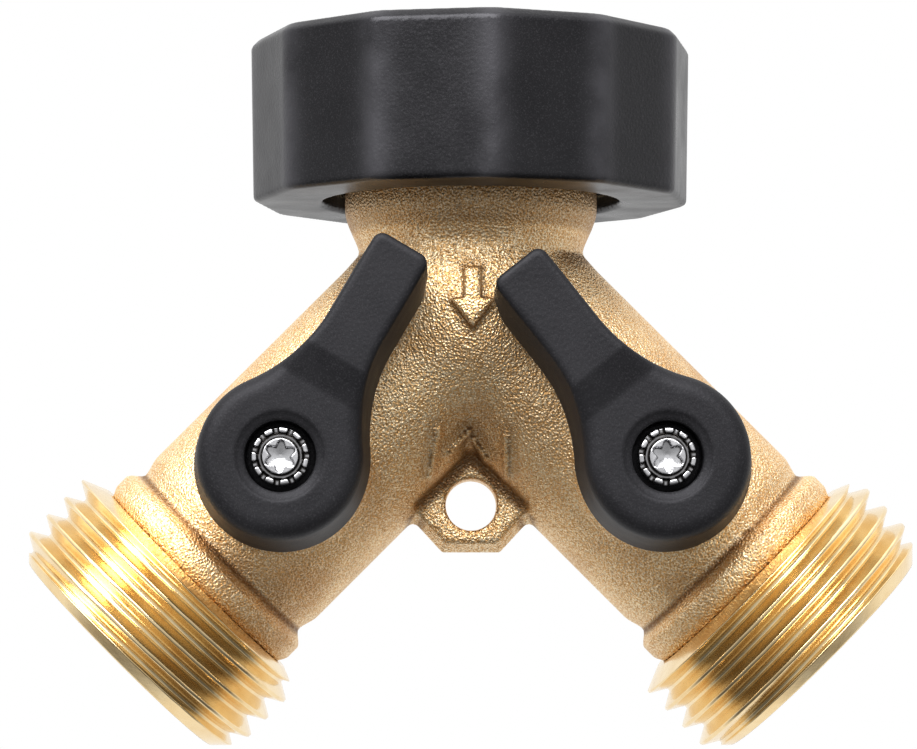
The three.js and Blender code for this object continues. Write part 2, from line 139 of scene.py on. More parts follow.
# swivel nut, its insert and the hose washer
NUT_CORNER = 20.15
NUT_SIDES = 12
NUT_PHASE = 4.6
NUT_HOLE = 13.5
NUT_TAPER = 0.26
GRIP_BORE = 15.9
INSERT_R = 15.6
FEMALE_ROOT = 13.75
FEMALE_CREST = 12.4
WASHER_SEAT_R = 12.9
WASHER_INNER = 7.05
WASHER_OUTER = 12.55
WASHER_EDGE = 0.3

# levers
REST_ANGLE = {"left": 30.5, "right": -38.3}
BOSS_R = 6.9
BOSS_FACE = 22.0
ARM_HALF = 2.58
ARM_FROM = 13.0
ARM_TIP = 20.8
TIP_CORNER = 0.9
DRAFT = 0.75
SKIRT_BORE_R = 5.95
SKIRT_BORE_TOP = 16.5
RECESS_R = 3.05
RECESS_FLARE = 0.65
RECESS_FLOOR = 18.9
SCREW_HOLE_R = 1.6

# screws
HEAD_FROM = 20.0
HEAD_TOP = 21.4
HEAD_R = 2.5
RIM_NOTCHES = 11
NOTCH_HALF = 0.26
NOTCH_FROM = 1.95
NOTCH_DEPTH = 0.9
RING_R = 1.78
RING_HALF = 0.22
RING_DEPTH = 0.7
SOCKET_R = 1.14
SOCKET_LOBE = 0.24
SOCKET_DEPTH = 0.8
SHANK_R = 1.2
SHANK_FROM = 13.3

# ---- fineness of the meshes: grid spacing in millimetres, and points round an axis --------------
BODY_GRID = 0.33
NUT_GRID = 0.3
LEVER_GRID = 0.22
SCREW_GRID = 0.07
PROJECTIONS = 2
THREAD_ROW = 0.07
THREAD_COLUMNS = 256
INSERT_ROW = 0.08
INSERT_COLUMNS = 220
WASHER_COLUMNS = 160


# ---- field tools -------------------------------------------------------------------------------
# half the distance that slopes are measured over, and a value far outside everything
PROBE = 0.02
FAR = 1000.0


def smooth_min(a, b, k):
    """Union of two fields with a fillet of about k."""
    h = np.clip(0.5 + 0.5 * (b - a) / k, 0.0, 1.0)
    return b + (a - b) * h - k * h * (1.0 - h)


def smooth_max(a, b, k):
    """Intersection of two fields with a rounded edge of about k."""
    return -smooth_min(-a, -b, k)


def ramp(value, low, high):
    """0 below low, 1 above high, smooth between."""
    t = np.clip((value - low) / (high - low), 0.0, 1.0)
    return t * t * (3.0 - 2.0 * t)


def span(value, low, high):
    """Field of the slab between low and high."""
    return np.maximum(low - value, value - high)


def disc(a, b, radius):
    return np.sqrt(a * a + b * b) - radius


def polygon(x, y, points):
    """Signed distance to a closed polygon."""
    count = len(points)
    x, y = np.broadcast_arrays(x, y)
    best = np.full(x.shape, 1e9, x.dtype)
    inside = np.zeros(x.shape, bool)
    for i in range(count):
        (ax, ay), (bx, by) = points[i], points[(i + 1) % count]
        ex, ey = bx - ax, by - ay
        px, py = x - ax, y - ay
        t = np.clip((px * ex + py * ey) / (ex * ex + ey * ey), 0.0, 1.0)
        best = np.minimum(best, (px - ex * t) ** 2 + (py - ey * t) ** 2)
        if ay != by:
            crosses = (ay > y) != (by > y)
            inside ^= crosses & (px < ex * py / ey)
    return np.where(inside, -1.0, 1.0) * np.sqrt(best)


# ---- mesh making -------------------------------------------------------------------------------
def net_of_field(field, low, high, step):
    """Surface net of a field over a box: vertices in millimetres, and quads that face out."""
    axes = [np.arange(lo - 2 * step, hi + 3 * step, step, dtype=np.float32) for lo, hi in zip(low, high)]
    shape = tuple(len(axis) for axis in axes)
    values = np.empty(shape, np.float32)
    for i in range(0, shape[0], 24):
        x = axes[0][i:i + 24, None, None]
        values[i:i + 24] = field(x, axes[1][None, :, None], axes[2][None, None, :])
    cells = np.array([n - 1 for n in shape])
    total = int(cells.prod())
    strides = np.array([cells[1] * cells[2], cells[2], 1])
    sums = np.zeros((3, total), np.float64)
    hits = np.zeros(total, np.float64)
    quads = []
    for axis in range(3):
        b, c = (axis + 1) % 3, (axis + 2) % 3
        first = [slice(None)] * 3
        second = [slice(None)] * 3
        first[axis] = slice(0, shape[axis] - 1)
        second[axis] = slice(1, shape[axis])
        v0, v1 = values[tuple(first)], values[tuple(second)]
        edges = np.argwhere((v0 < 0) != (v1 < 0))
        edges = edges[np.all((edges[:, [b, c]] > 0) & (edges[:, [b, c]] < cells[[b, c]]), axis=1)]
        at = tuple(edges.T)
        start, end = v0[at], v1[at]
        place = edges.astype(np.float64)
        place[:, axis] += start / (start - end)
        corners = []
        for db, dc in ((-1, -1), (0, -1), (0, 0), (-1, 0)):
            cell = edges.copy()
            cell[:, b] += db
            cell[:, c] += dc
            flat = cell @ strides
            corners.append(flat)
            hits += np.bincount(flat, minlength=total)
            for k in range(3):
                sums[k] += np.bincount(flat, weights=place[:, k], minlength=total)
        quad = np.stack(corners, axis=1)
        quad[start >= 0] = quad[start >= 0][:, ::-1]
        quads.append(quad)
    used = np.flatnonzero(hits)
    number = np.full(total, -1, np.int64)
    number[used] = np.arange(len(used))
    origin = np.array([axis[0] for axis in axes], np.float64)
    points = (sums[:, used] / hits[used]).T * step + origin
    faces = number[np.concatenate(quads)]
    for _ in range(PROJECTIONS):
        points = points - toward_surface(field, points, step)
    return points, faces


def differences(field, points):
    """Change of a field across each point along x, y and z, over twice PROBE."""
    x, y, z = points.T
    return np.stack([
        field(x + PROBE, y, z) - field(x - PROBE, y, z),
        field(x, y + PROBE, z) - field(x, y - PROBE, z),
        field(x, y, z + PROBE) - field(x, y, z - PROBE),
    ], axis=1)


def toward_surface(field, points, step):
    """The move from each point to the field's surface, limited to half a grid step."""
    slope = differences(field, points) / (2 * PROBE)
    size = np.maximum((slope ** 2).sum(1), 0.2)
    move = slope * (field(*points.T) / size)[:, None]
    length = np.maximum(np.linalg.norm(move, axis=1), 1e-9)
    return move * np.minimum(1.0, 0.5 * step / length)[:, None]


def make_mesh(name, points_mm, faces, material, body, replaces=()):
    """A smooth-shaded piece from points measured from the junction, riding on a CAD body."""
    points = np.asarray(points_mm, np.float64) + (0.0, 0.0, JUNCTION_Z)
    faces = np.asarray(faces, np.int32)
    size = faces.shape[1]
    mesh = bpy.data.meshes.new(name)
    mesh.vertices.add(len(points))
    mesh.vertices.foreach_set("co", (points * MM).astype(np.float32).ravel())
    mesh.loops.add(faces.size)
    mesh.loops.foreach_set("vertex_index", faces.ravel())
    mesh.polygons.add(len(faces))
    mesh.polygons.foreach_set("loop_start", np.arange(0, faces.size, size, dtype=np.int32))
    mesh.polygons.foreach_set("use_smooth", np.ones(len(faces), bool))
    mesh.update(calc_edges=True)
    mesh.validate()
    mesh.materials.append(material)
    piece = bpy.data.objects.new(name, mesh)
    bpy.context.scene.collection.objects.link(piece)
    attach(piece, body)
    for node in replaces:
        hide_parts(node)
    return piece


def field_slope(field, points):
    """Unit normals of a field at points."""
    slope = differences(field, points)
    return slope / np.maximum(np.linalg.norm(slope, axis=1), 1e-9)[:, None]


def store(piece, name, values):
    """Keeps a number between 0 and 1 for each of a piece's points, for its material to read."""
    attribute = piece.data.attributes.new(name, "FLOAT", "POINT")
    attribute.data.foreach_set("value", np.clip(values, 0.0, 1.0).astype(np.float32))


def enclosure(field, points, reach):
    """How enclosed each point of a surface is: 0 in the open, 1 where material stands in front of it."""
    ahead = points + reach * field_slope(field, points)
    return 1.0 - field(*ahead.T) / reach


def body_painted_shade(points):
    """How much painted shade each point of the cast body gets: in crevices, along creases, under the nut and where
    the neck meets the legs.
    """
    # painted shade in crevices, darker the more enclosed a point is
    near = enclosure(body_field, points, CREVICE_REACH)
    wide = enclosure(body_field, points, 3.0 * CREVICE_REACH)
    enclosed = np.maximum(near, 1.4 * wide - 0.25)
    for side in SIDES:
        along = leg_frame(*points.T, side)[0]
        # painted shade along the crease on the body side of each bead
        bead_crease_shade = 0.85 * np.exp(-((along - CREASE_ALONG) / 0.4) ** 2)
        enclosed = np.maximum(enclosed, bead_crease_shade)
    x, y, z = points.T
    # painted shade along the crease where the legs turn under, beside the lug
    crotch_shade = 0.8 * np.exp(-(ridge(np.abs(x), z, *CROTCH, 0.0) / 0.8) ** 2)
    enclosed = np.maximum(enclosed, crotch_shade * (np.abs(y) > LUG_HALF + 0.05))
    # painted shade in a band under the nut
    under_nut_shade = 0.52 * ramp(z, WAIST_Z + 0.8, WAIST_Z + 2.2)
    enclosed = np.maximum(enclosed, under_nut_shade)
    # painted shade where the neck meets the legs
    neck_join_shade = np.exp(-np.abs(disc(x, y, WAIST_R)) / 1.2) * ramp(np.abs(x), 6.0, 8.5)
    return np.maximum(enclosed, 0.75 * neck_join_shade * (z < WAIST_Z - 0.3) * (z > 0.0))


def grid_faces(rows, columns):
    """Quads of a grid whose rows and columns both wrap round."""
    row = np.arange(rows)[:, None]
    column = np.arange(columns)[None, :]
    next_row = (row + 1) % rows
    next_column = (column + 1) % columns
    quads = np.stack([
        row * columns + column,
        row * columns + next_column,
        next_row * columns + next_column,
        next_row * columns + column,
    ], axis=-1)
    return quads.reshape(-1, 4)


def face_out(points, faces):
    """Turns a closed mesh's faces round if they face in."""
    a, b, c, d = (points[faces[:, k]] for k in range(4))
    volume = np.einsum("ij,ij->", a, np.cross(b, c)) + np.einsum("ij,ij->", a, np.cross(c, d))
    return faces if volume > 0 else faces[:, ::-1]


def angles_round(columns):
    return np.arange(columns) * 2 * math.pi / columns


def turned_mesh(name, rows, columns, material, body, node):
    """A closed piece turned about the inlet axis, from rows of (radius, height), replacing a CAD node."""
    angle = angles_round(columns)
    points = np.concatenate([
        np.stack([radius * np.cos(angle), radius * np.sin(angle), np.full(columns, height)], axis=-1)
        for radius, height in rows])
    faces = face_out(points, grid_faces(len(rows), columns))
    return make_mesh(name, points, faces, material, body, [node])


# ---- frames of the legs and stems --------------------------------------------------------------
def leg_frame(x, y, z, side):
    """Distance along a leg, and across it toward the leg's upper side."""
    mirrored = SIDES[side] * x
    return (mirrored - z) * Q, (mirrored + z) * Q


def leg_to_world(angle, radius, along, side):
    """Points round a leg's axis. The angle runs as in the CAD, so threads match it."""
    sign = SIDES[side]
    across = -sign * radius * np.cos(angle)
    y = radius * np.sin(angle)
    x = sign * (along + across) * Q
    z = (across - along) * Q
    return np.stack([x, y, z], axis=-1)


def stem_to_world(points, side, degrees):
    """Turns points (across, up the arm, depth) into place on a stem axis."""
    turn = math.radians(degrees)
    across, up, depth = np.asarray(points).T
    x = across * math.cos(turn) + up * math.sin(turn) + SIDES[side] * STEM_X
    z = up * math.cos(turn) - across * math.sin(turn) + STEM_Z
    return np.stack([x, -depth, z], axis=-1)


# ---- materials ---------------------------------------------------------------------------------
class Nodes:
    """Small helper for building the nodes of a material or a world."""

    def __init__(self, owner):
        owner.use_nodes = True
        self.owner = owner
        self.tree = owner.node_tree
        self.coordinates = self.add("ShaderNodeTexCoord").outputs["Object"]

    def add(self, kind, **settings):
        node = self.tree.nodes.new(kind)
        for key, value in settings.items():
            setattr(node, key, value)
        return node

    def link(self, output, target):
        self.tree.links.new(output, target)

    def noise(self, scale, detail=3.0, roughness=0.55):
        node = self.add("ShaderNodeTexNoise")
        node.inputs["Scale"].default_value = scale
        node.inputs["Detail"].default_value = detail
        node.inputs["Roughness"].default_value = roughness
        self.link(self.coordinates, node.inputs["Vector"])
        return node.outputs["Fac"]

    def voronoi(self, scale, feature="F1"):
        node = self.add("ShaderNodeTexVoronoi", feature=feature)
        node.inputs["Scale"].default_value = scale
        self.link(self.coordinates, node.inputs["Vector"])
        return node.outputs["Distance"]

    def band(self, value, low, high, out_low=0.0, out_high=1.0):
        node = self.add("ShaderNodeMapRange")
        limits = {"From Min": low, "From Max": high, "To Min": out_low, "To Max": out_high}
        for key, number in limits.items():
            node.inputs[key].default_value = number
        self.link(value, node.inputs["Value"])
        return node.outputs["Result"]

    def math(self, operation, a, b):
        node = self.add("ShaderNodeMath", operation=operation)
        self.link(a, node.inputs[0])
        self.link(b, node.inputs[1])
        return node.outputs["Value"]

    def mix(self, factor, a, b):
        """Mixes two colours, each a tuple or a node's output. Inputs 6 and 7 are the colour pair."""
        node = self.add("ShaderNodeMix", data_type="RGBA")
        self.link(factor, node.inputs[0])
        for key, value in ((6, a), (7, b)):
            if isinstance(value, tuple):
                node.inputs[key].default_value = (*value, 1.0)
            else:
                self.link(value, node.inputs[key])
        return node.outputs[2]

    def bump(self, height, strength, distance_mm, normal=None):
        node = self.add("ShaderNodeBump")
        node.inputs["Strength"].default_value = strength
        node.inputs["Distance"].default_value = distance_mm * MM
        self.link(height, node.inputs["Height"])
        if normal is not None:
            self.link(normal, node.inputs["Normal"])
        return node.outputs["Normal"]

    def finish(self, color, roughness, normal, metallic=0.0, **sockets):
        shader = self.tree.nodes["Principled BSDF"]
        self.link(color, shader.inputs["Base Color"])
        self.link(roughness, shader.inputs["Roughness"])
        self.link(normal, shader.inputs["Normal"])
        shader.inputs["Metallic"].default_value = metallic
        for key, value in sockets.items():
            shader.inputs[key.replace("_", " ")].default_value = value
        return self.owner


def cast_brass():
    """Sandblasted cast brass: bright grains, dark dents, brown patina, and painted brown shade in crevices,
    creases and under the nut.
    """
    n = Nodes(bpy.data.materials.new("cast_brass"))
    grain = n.noise(6000.0, 2.0, 0.6)
    dents = n.voronoi(4300.0)
    cloud = n.noise(130.0, 4.0, 0.6)
    warm = n.mix(n.band(cloud, 0.35, 0.68), (0.74, 0.455, 0.195), (0.84, 0.565, 0.28))
    color = n.mix(n.band(grain, 0.46, 0.56, 0.0, 1.0), warm, (1.0, 0.84, 0.59))
    patina = n.noise(75.0, 5.0, 0.65)
    color = n.mix(n.band(patina, 0.48, 0.68, 0.0, 0.5), color, (0.50, 0.26, 0.10))
    dark = n.band(dents, 0.0, 0.3, 0.9, 0.0)
    color = n.mix(dark, color, (0.20, 0.095, 0.035))
    # painted shade: darkens the casting where the mesh's stored shade amount is high
    painted_shade = n.add("ShaderNodeAttribute", attribute_name="painted_shade").outputs["Fac"]
    color = n.mix(n.band(painted_shade, 0.25, 0.85, 0.0, 0.88), color, (0.17, 0.075, 0.025))
    roughness = n.band(grain, 0.35, 0.65, 0.52, 0.38)
    normal = n.bump(dents, 1.0, 0.085)
    normal = n.bump(grain, 0.8, 0.085, normal)
    normal = n.bump(n.noise(1100.0, 3.0), 0.3, 0.12, normal)
    return n.finish(color, roughness, normal, metallic=1.0)


def machined_brass(name, roughness):
    """Turned brass: clouded yellow metal with fine scratches."""
    n = Nodes(bpy.data.materials.new(name))
    cloud = n.noise(260.0, 4.0, 0.6)
    color = n.mix(n.band(cloud, 0.3, 0.7), (0.87, 0.65, 0.35), (0.97, 0.80, 0.51))
    scratches = n.noise(4200.0, 2.0, 0.7)
    rough = n.band(scratches, 0.3, 0.7, roughness - 0.04, roughness + 0.06)
    normal = n.bump(n.noise(900.0, 5.0, 0.65), 0.22, 0.06)
    return n.finish(color, rough, normal, metallic=1.0)


def black_plastic(name, grain_scale, grain_depth, gloss_roughness, shade, specular):
    """Moulded black plastic with leather grain, paler where the mesh says so: corner wear and a painted highlight.
    """
    n = Nodes(bpy.data.materials.new(name))
    leather = n.voronoi(grain_scale, "SMOOTH_F1")
    fine = n.noise(grain_scale * 2.2, 3.0, 0.6)
    wear = n.noise(170.0, 5.0, 0.6)
    base = tuple(shade * tint for tint in (1.0, 0.98, 1.12))
    light = tuple(shade * tint for tint in (1.6, 1.57, 1.75))
    color = n.mix(n.band(wear, 0.35, 0.7), base, light)
    color = n.mix(n.band(fine, 0.52, 0.72, 0.0, 0.45), color, (0.05, 0.049, 0.053))
    # paler along the corners: wear and a painted highlight
    corner_wear_and_sheen = n.add("ShaderNodeAttribute", attribute_name="corner_wear_and_sheen").outputs["Fac"]
    wear_and_sheen = n.math("MULTIPLY", corner_wear_and_sheen, n.band(wear, 0.3, 0.6, 0.25, 0.75))
    color = n.mix(wear_and_sheen, color, (0.052, 0.051, 0.056))
    roughness = n.band(wear, 0.3, 0.7, gloss_roughness, gloss_roughness + 0.12)
    normal = n.bump(leather, 0.5, grain_depth)
    normal = n.bump(fine, 0.4, grain_depth * 0.7, normal)
    cool = (0.95, 0.94, 1.0, 1.0)
    return n.finish(color, roughness, normal, Specular_IOR_Level=specular, Specular_Tint=cool)


def steel(name, color=(0.70, 0.70, 0.72), roughness=0.2):
    """Plated or spring steel, with painted shade where the mesh marks a point as deep in a recess."""
    n = Nodes(bpy.data.materials.new(name))
    cloud = n.noise(700.0, 4.0, 0.6)
    tint = n.mix(n.band(cloud, 0.3, 0.7), tuple(c * 0.8 for c in color), color)
    # painted shade in recesses
    painted_shade = n.add("ShaderNodeAttribute", attribute_name="painted_shade").outputs["Fac"]
    tint = n.mix(n.band(painted_shade, 0.2, 0.7), tint, (0.035, 0.032, 0.03))
    rough = n.band(n.noise(2600.0, 3.0), 0.3, 0.7, roughness * 0.7, roughness * 1.6)
    normal = n.bump(n.noise(1800.0, 4.0), 0.25, 0.05)
    return n.finish(tint, rough, normal, metallic=1.0)


def rubber(name):
    """Black rubber with a little pale dust."""
    n = Nodes(bpy.data.materials.new(name))
    dust = n.noise(300.0, 5.0, 0.65)
    color = n.mix(n.band(dust, 0.35, 0.75), (0.014, 0.014, 0.015), (0.045, 0.044, 0.043))
    roughness = n.band(dust, 0.3, 0.7, 0.55, 0.8)
    normal = n.bump(n.noise(2400.0, 3.0), 0.4, 0.05)
    return n.finish(color, roughness, normal)


def ptfe():
    """White PTFE, faintly clouded."""
    n = Nodes(bpy.data.materials.new("ptfe"))
    cloud = n.noise(400.0, 4.0, 0.6)
    color = n.mix(n.band(cloud, 0.3, 0.7), (0.80, 0.79, 0.75), (0.88, 0.87, 0.84))
    roughness = n.band(cloud, 0.3, 0.7, 0.38, 0.55)
    normal = n.bump(n.noise(2200.0, 3.0), 0.2, 0.04)
    return n.finish(color, roughness, normal, Subsurface_Weight=0.15)


CAST = cast_brass()
TURNED = machined_brass("machined_brass", 0.15)
INNER_BRASS = machined_brass("inner_brass", 0.26)
NUT_PLASTIC = black_plastic("nut_plastic", 3400.0, 0.03, 0.25, 0.0045, 0.4)
LEVER_PLASTIC = black_plastic("lever_plastic", 3200.0, 0.035, 0.46, 0.0095, 0.3)
SCREW_STEEL = steel("screw_steel")
SPRING_STEEL = steel("spring_steel", (0.45, 0.46, 0.48), 0.3)
CHROME = steel("ball_chrome", (0.82, 0.83, 0.85), 0.08)
BLACK_RUBBER = rubber("black_rubber")
WHITE_PTFE = ptfe()


# ---- cast body ---------------------------------------------------------------------------------
# outlines in the front view (x, z)
ARROW = [(-0.75, 2.7), (-0.75, -0.1), (-2.0, -0.1), (0.0, -2.8), (2.0, -0.1), (0.75, -0.1), (0.75, 2.7)]
LUG = [
    (-9.5, -14.0), (-5.1, -19.8), (-2.6, LUG_BOTTOM), (2.6, LUG_BOTTOM),
    (5.1, -19.8), (9.5, -14.0), (0.0, -9.0),
]
# each mark: its two ends and its half width
MOULD_MARKS = [
    ((-2.9, -11.8), (-3.6, -15.9), 0.24),
    ((2.9, -12.4), (3.1, -15.9), 0.24),
    ((-2.0, -14.0), (-0.2, -11.9), 0.2),
    ((0.1, -12.6), (1.3, -14.4), 0.2),
]
# right-hand line of the crease where the legs turn under, from its apex; the left one mirrors it
CROTCH = ((0.0, -14.1), (4.5, -18.4))
WEB = [(-9.0, -16.5), (0.0, -7.5), (9.0, -16.5), (5.0, -17.5), (0.0, -15.6), (-5.0, -17.5)]


def neck_field(x, y, z):
    """The flared neck under the nut, and the grooved sleeve that the nut turns on."""
    flare = ramp(z, WAIST_Z - 0.8, SHOULDER_Z - 2.3)
    radius = WAIST_R + (SHOULDER_R - WAIST_R) * flare
    flared = smooth_max(disc(x, y, radius), span(z, 0.0, SHOULDER_Z), 0.5)
    sleeve = np.maximum(disc(x, y, NECK_R), span(z, 0.0, NECK_TOP))
    groove = np.maximum(GROOVE_R - np.sqrt(x * x + y * y), span(z, GROOVE_FROM, GROOVE_TO))
    return np.minimum(flared, np.maximum(sleeve, -groove))


def leg_field(x, y, z, side):
    """A cast leg: a round tube that dips before the bead at its end, and the plug under the thread."""
    along, across = leg_frame(x, y, z, side)
    rho = np.sqrt(across * across + y * y)
    dip = DIP * ramp(along, 29.8, 31.9)
    bead = BEAD * ramp(along, 31.75, 33.1) - BEAD_FALL * ramp(along, 34.2, 35.3)
    tube = np.maximum(rho - (TUBE_R - dip + bead), span(along, 0.0, THREAD_PLANE - 0.1))
    plug = np.maximum(rho - OUTLET_R + 0.02, span(along, 30.0, CHAMBER_TO))
    return np.minimum(tube, plug)


def gland_field(x, y, z, side):
    """The stepped boss that a stem comes out of: its wide base and its narrow neck."""
    dx = x - SIDES[side] * STEM_X
    dz = z - STEM_Z
    rho = np.sqrt(dx * dx + dz * dz)
    depth = -y
    base = smooth_max(rho - GLAND_R, span(depth, 0.0, GLAND_TOP), 0.5)
    neck = np.maximum(rho - GLAND_NECK_R, span(depth, 0.0, GLAND_NECK_TOP))
    return base, neck


def bore_field(x, y, z):
    """Everything that is hollow inside the body."""
    hollow = np.maximum(disc(x, y, NECK_BORE), NECK_BORE_BOTTOM - z)
    for side in SIDES:
        along, across = leg_frame(x, y, z, side)
        offset = across - VALVE_OFFSET
        passage = np.maximum(disc(offset, y, PASSAGE_R), span(along, -1.0, CHAMBER_FROM + 1.0))
        chamber = np.maximum(disc(offset, y, CHAMBER_R), span(along, CHAMBER_FROM, CHAMBER_TO + 2.0))
        dx = x - SIDES[side] * STEM_X
        dz = z - STEM_Z
        depth = -y
        pocket = np.maximum(disc(dx, dz, POCKET_R), span(depth, 3.0, POCKET_TOP))
        gland = np.maximum(disc(dx, dz, GLAND_BORE), span(depth, 3.0, GLAND_NECK_TOP + 2.0))
        for part in (passage, chamber, pocket, gland):
            hollow = np.minimum(hollow, part)
    return hollow


def ridge(x, z, start, end, half):
    """Field of a straight mark of the given half width between two points of the front view."""
    ex, ez = end[0] - start[0], end[1] - start[1]
    t = np.clip(((x - start[0]) * ex + (z - start[1]) * ez) / (ex * ex + ez * ez), 0.0, 1.0)
    return np.sqrt((x - start[0] - ex * t) ** 2 + (z - start[1] - ez * t) ** 2) - half


def lug_field(x, y, z):
    """Hanging lug whose edges are drafted from the mould's parting plane to both faces."""
    draft = LUG_DRAFT * np.clip((np.abs(y) - 0.4) / (LUG_HALF - 0.4), 0.0, 1.0)
    return smooth_max(polygon(x, z, LUG) + draft, np.abs(y) - LUG_HALF, 0.3)


def body_field(x, y, z):
    """The cast body: legs, junction, neck, web, marks, lug, arrow and glands, hollowed by the bores."""
    legs = smooth_min(leg_field(x, y, z, "left"), leg_field(x, y, z, "right"), 0.9)
    core = smooth_min(np.sqrt(x * x + y * y + (z + JUNCTION_DROP) ** 2) - JUNCTION_R, legs, 1.6)
    trunk = smooth_min(core, neck_field(x, y, z), 1.6 - 1.2 * ramp(np.abs(x), 4.0, 8.0))
    half = LUG_HALF + 1.2 * ramp(z, -15.8, -13.2)
    web = np.maximum(polygon(x, z, WEB), np.abs(y) - half)
    trunk = smooth_min(trunk, web, 0.9)
    groove = ridge(np.abs(x), z, *CROTCH, 0.45)
    trunk = smooth_max(trunk, -np.maximum(groove, -0.35 - trunk), 0.5)
    marks = [ridge(x, z, start, end, half_width) for start, end, half_width in MOULD_MARKS]
    raised = smooth_max(np.minimum.reduce(marks), trunk - 0.3, 0.25)
    trunk = smooth_min(trunk, np.maximum(raised, y + 2.0), 0.35)
    trunk = smooth_min(trunk, lug_field(x, y, z), 0.8)
    hole = disc(x, z - LUG_HOLE_Z, LUG_HOLE_R)
    trunk = smooth_max(trunk, -hole, 0.3)
    raised = smooth_max(polygon(x, z + 0.4, ARROW), trunk - 0.85, 0.35)
    arrow = np.maximum(raised, y + 5.0)
    trunk = smooth_min(trunk, arrow, 0.3)
    for side in SIDES:
        base, neck = gland_field(x, y, z, side)
        trunk = np.minimum(smooth_min(trunk, base, 1.2), neck)
    return np.maximum(trunk, -bore_field(x, y, z))


def build_body():
    """Casting up to the thread planes; the lug, arrow, marks and glands are part of it."""
    low = (-33.5, -16.2, -34.0)
    high = (33.5, 12.0, NECK_TOP + 0.2)
    points, faces = net_of_field(body_field, low, high, BODY_GRID)
    piece = make_mesh("body_casting", points, faces, CAST, "valve_body", ["valve_body"])
    # painted shade for crevices, creases and under the nut, kept for the material
    store(piece, "painted_shade", body_painted_shade(points))


# ---- machined threads --------------------------------------------------------------------------
def thread_height(angle, along, start, end, lead_in=0.0, lead_out=0.0):
    """0 at the root and 1 at the crest of a helical thread, faded at both ends."""
    turns = angle / (2 * math.pi)
    lead = (along - start) / PITCH - turns
    nearest = np.round(lead)
    from_crest = np.abs(lead - nearest) * PITCH
    flank = (CREST_R - ROOT_R) * math.tan(math.radians(30))
    shape = np.clip((CREST_HALF + flank - from_crest) / flank, 0.0, 1.0)
    travelled = turns + nearest
    length = (end - start) / PITCH
    fade = np.clip(np.minimum(travelled + lead_in, length + lead_out - travelled) / 0.2 + 0.1, 0.0, 1.0)
    return shape * fade


def build_thread(side):
    """Closed tube of one outlet thread, laid as rows round the leg's axis."""
    start = THREAD_PLANE - 0.15
    angle = angles_round(THREAD_COLUMNS)
    rows = [(OUTLET_R, start)]
    for along in np.arange(start, LEG_END - 0.04, THREAD_ROW):
        height = thread_height(angle, along, THREAD_FROM, THREAD_TO, lead_in=0.9, lead_out=1.0)
        run_in = RUN_IN_R + RUN_IN_SLOPE * (along - start)
        limit = min(CREST_R, run_in, END_CHAMFER_R + LEG_END - along)
        rows.append((np.minimum(ROOT_R + (CREST_R - ROOT_R) * height, limit), along))
    rows += [
        (END_CHAMFER_R, LEG_END),
        (OUTLET_R + 0.85, LEG_END),
        (OUTLET_R + 0.6, LEG_END - 0.06),
        (OUTLET_R + 0.1, LEG_END - 0.5),
        (OUTLET_R, LEG_END - 0.6),
    ]
    rows += [(OUTLET_R, along) for along in np.linspace(LEG_END - 2.0, THREAD_PLANE + 1.0, 5)]
    points = np.concatenate([leg_to_world(angle, radius, along, side) for radius, along in rows])
    faces = grid_faces(len(rows), THREAD_COLUMNS)
    make_mesh(f"{side}_thread", points, face_out(points, faces), TURNED, "valve_body")


# ---- swivel nut --------------------------------------------------------------------------------
def grip_field(x, y, z):
    """Twelve-sided grip, a little narrower at the bottom, with the holes for neck and insert."""
    taper = NUT_TAPER * (NUT_TOP - z) / (NUT_TOP - NUT_BOTTOM)
    apothem = NUT_CORNER * math.cos(math.pi / NUT_SIDES) - taper
    step = 2.0 * math.pi / NUT_SIDES
    rho = np.sqrt(x * x + y * y)
    angle = np.arctan2(y, x) - math.radians(NUT_PHASE - 90.0)
    folded = np.abs(np.mod(angle, step) - step / 2.0)
    side = smooth_max(rho * np.cos(folded) - apothem, rho * np.cos(step - folded) - apothem, 0.45)
    chamfer = (side + z - NUT_TOP + 0.75) * Q
    outer = smooth_max(smooth_max(side, z - NUT_TOP, 0.2), chamfer, 0.2)
    outer = smooth_max(outer, NUT_BOTTOM - z, 0.6)
    hole = np.maximum(rho - NUT_HOLE, z - INSERT_BOTTOM)
    bore = np.maximum(rho - GRIP_BORE, INSERT_BOTTOM - 0.3 - z)
    return smooth_max(outer, -np.minimum(hole, bore), 0.35)


def build_nut():
    """Plastic grip of the nut, paler along its twelve corners: wear and a painted highlight."""
    reach = NUT_CORNER + 0.1
    low = (-reach, -reach, NUT_BOTTOM)
    high = (reach, reach, NUT_TOP)
    points, faces = net_of_field(grip_field, low, high, NUT_GRID)
    piece = make_mesh("nut_grip_shell", points, faces, NUT_PLASTIC,
                      "swivel_nut", ["nut_grip"])
    step = 2.0 * math.pi / NUT_SIDES
    angle = np.arctan2(points[:, 1], points[:, 0]) - math.radians(NUT_PHASE - 90.0)
    off_corner = np.abs(np.mod(angle + step / 2.0, step) - step / 2.0) * NUT_CORNER
    # corner bands for the material: wear and a painted highlight
    store(piece, "corner_wear_and_sheen", np.exp(-(off_corner / 1.5) ** 2))


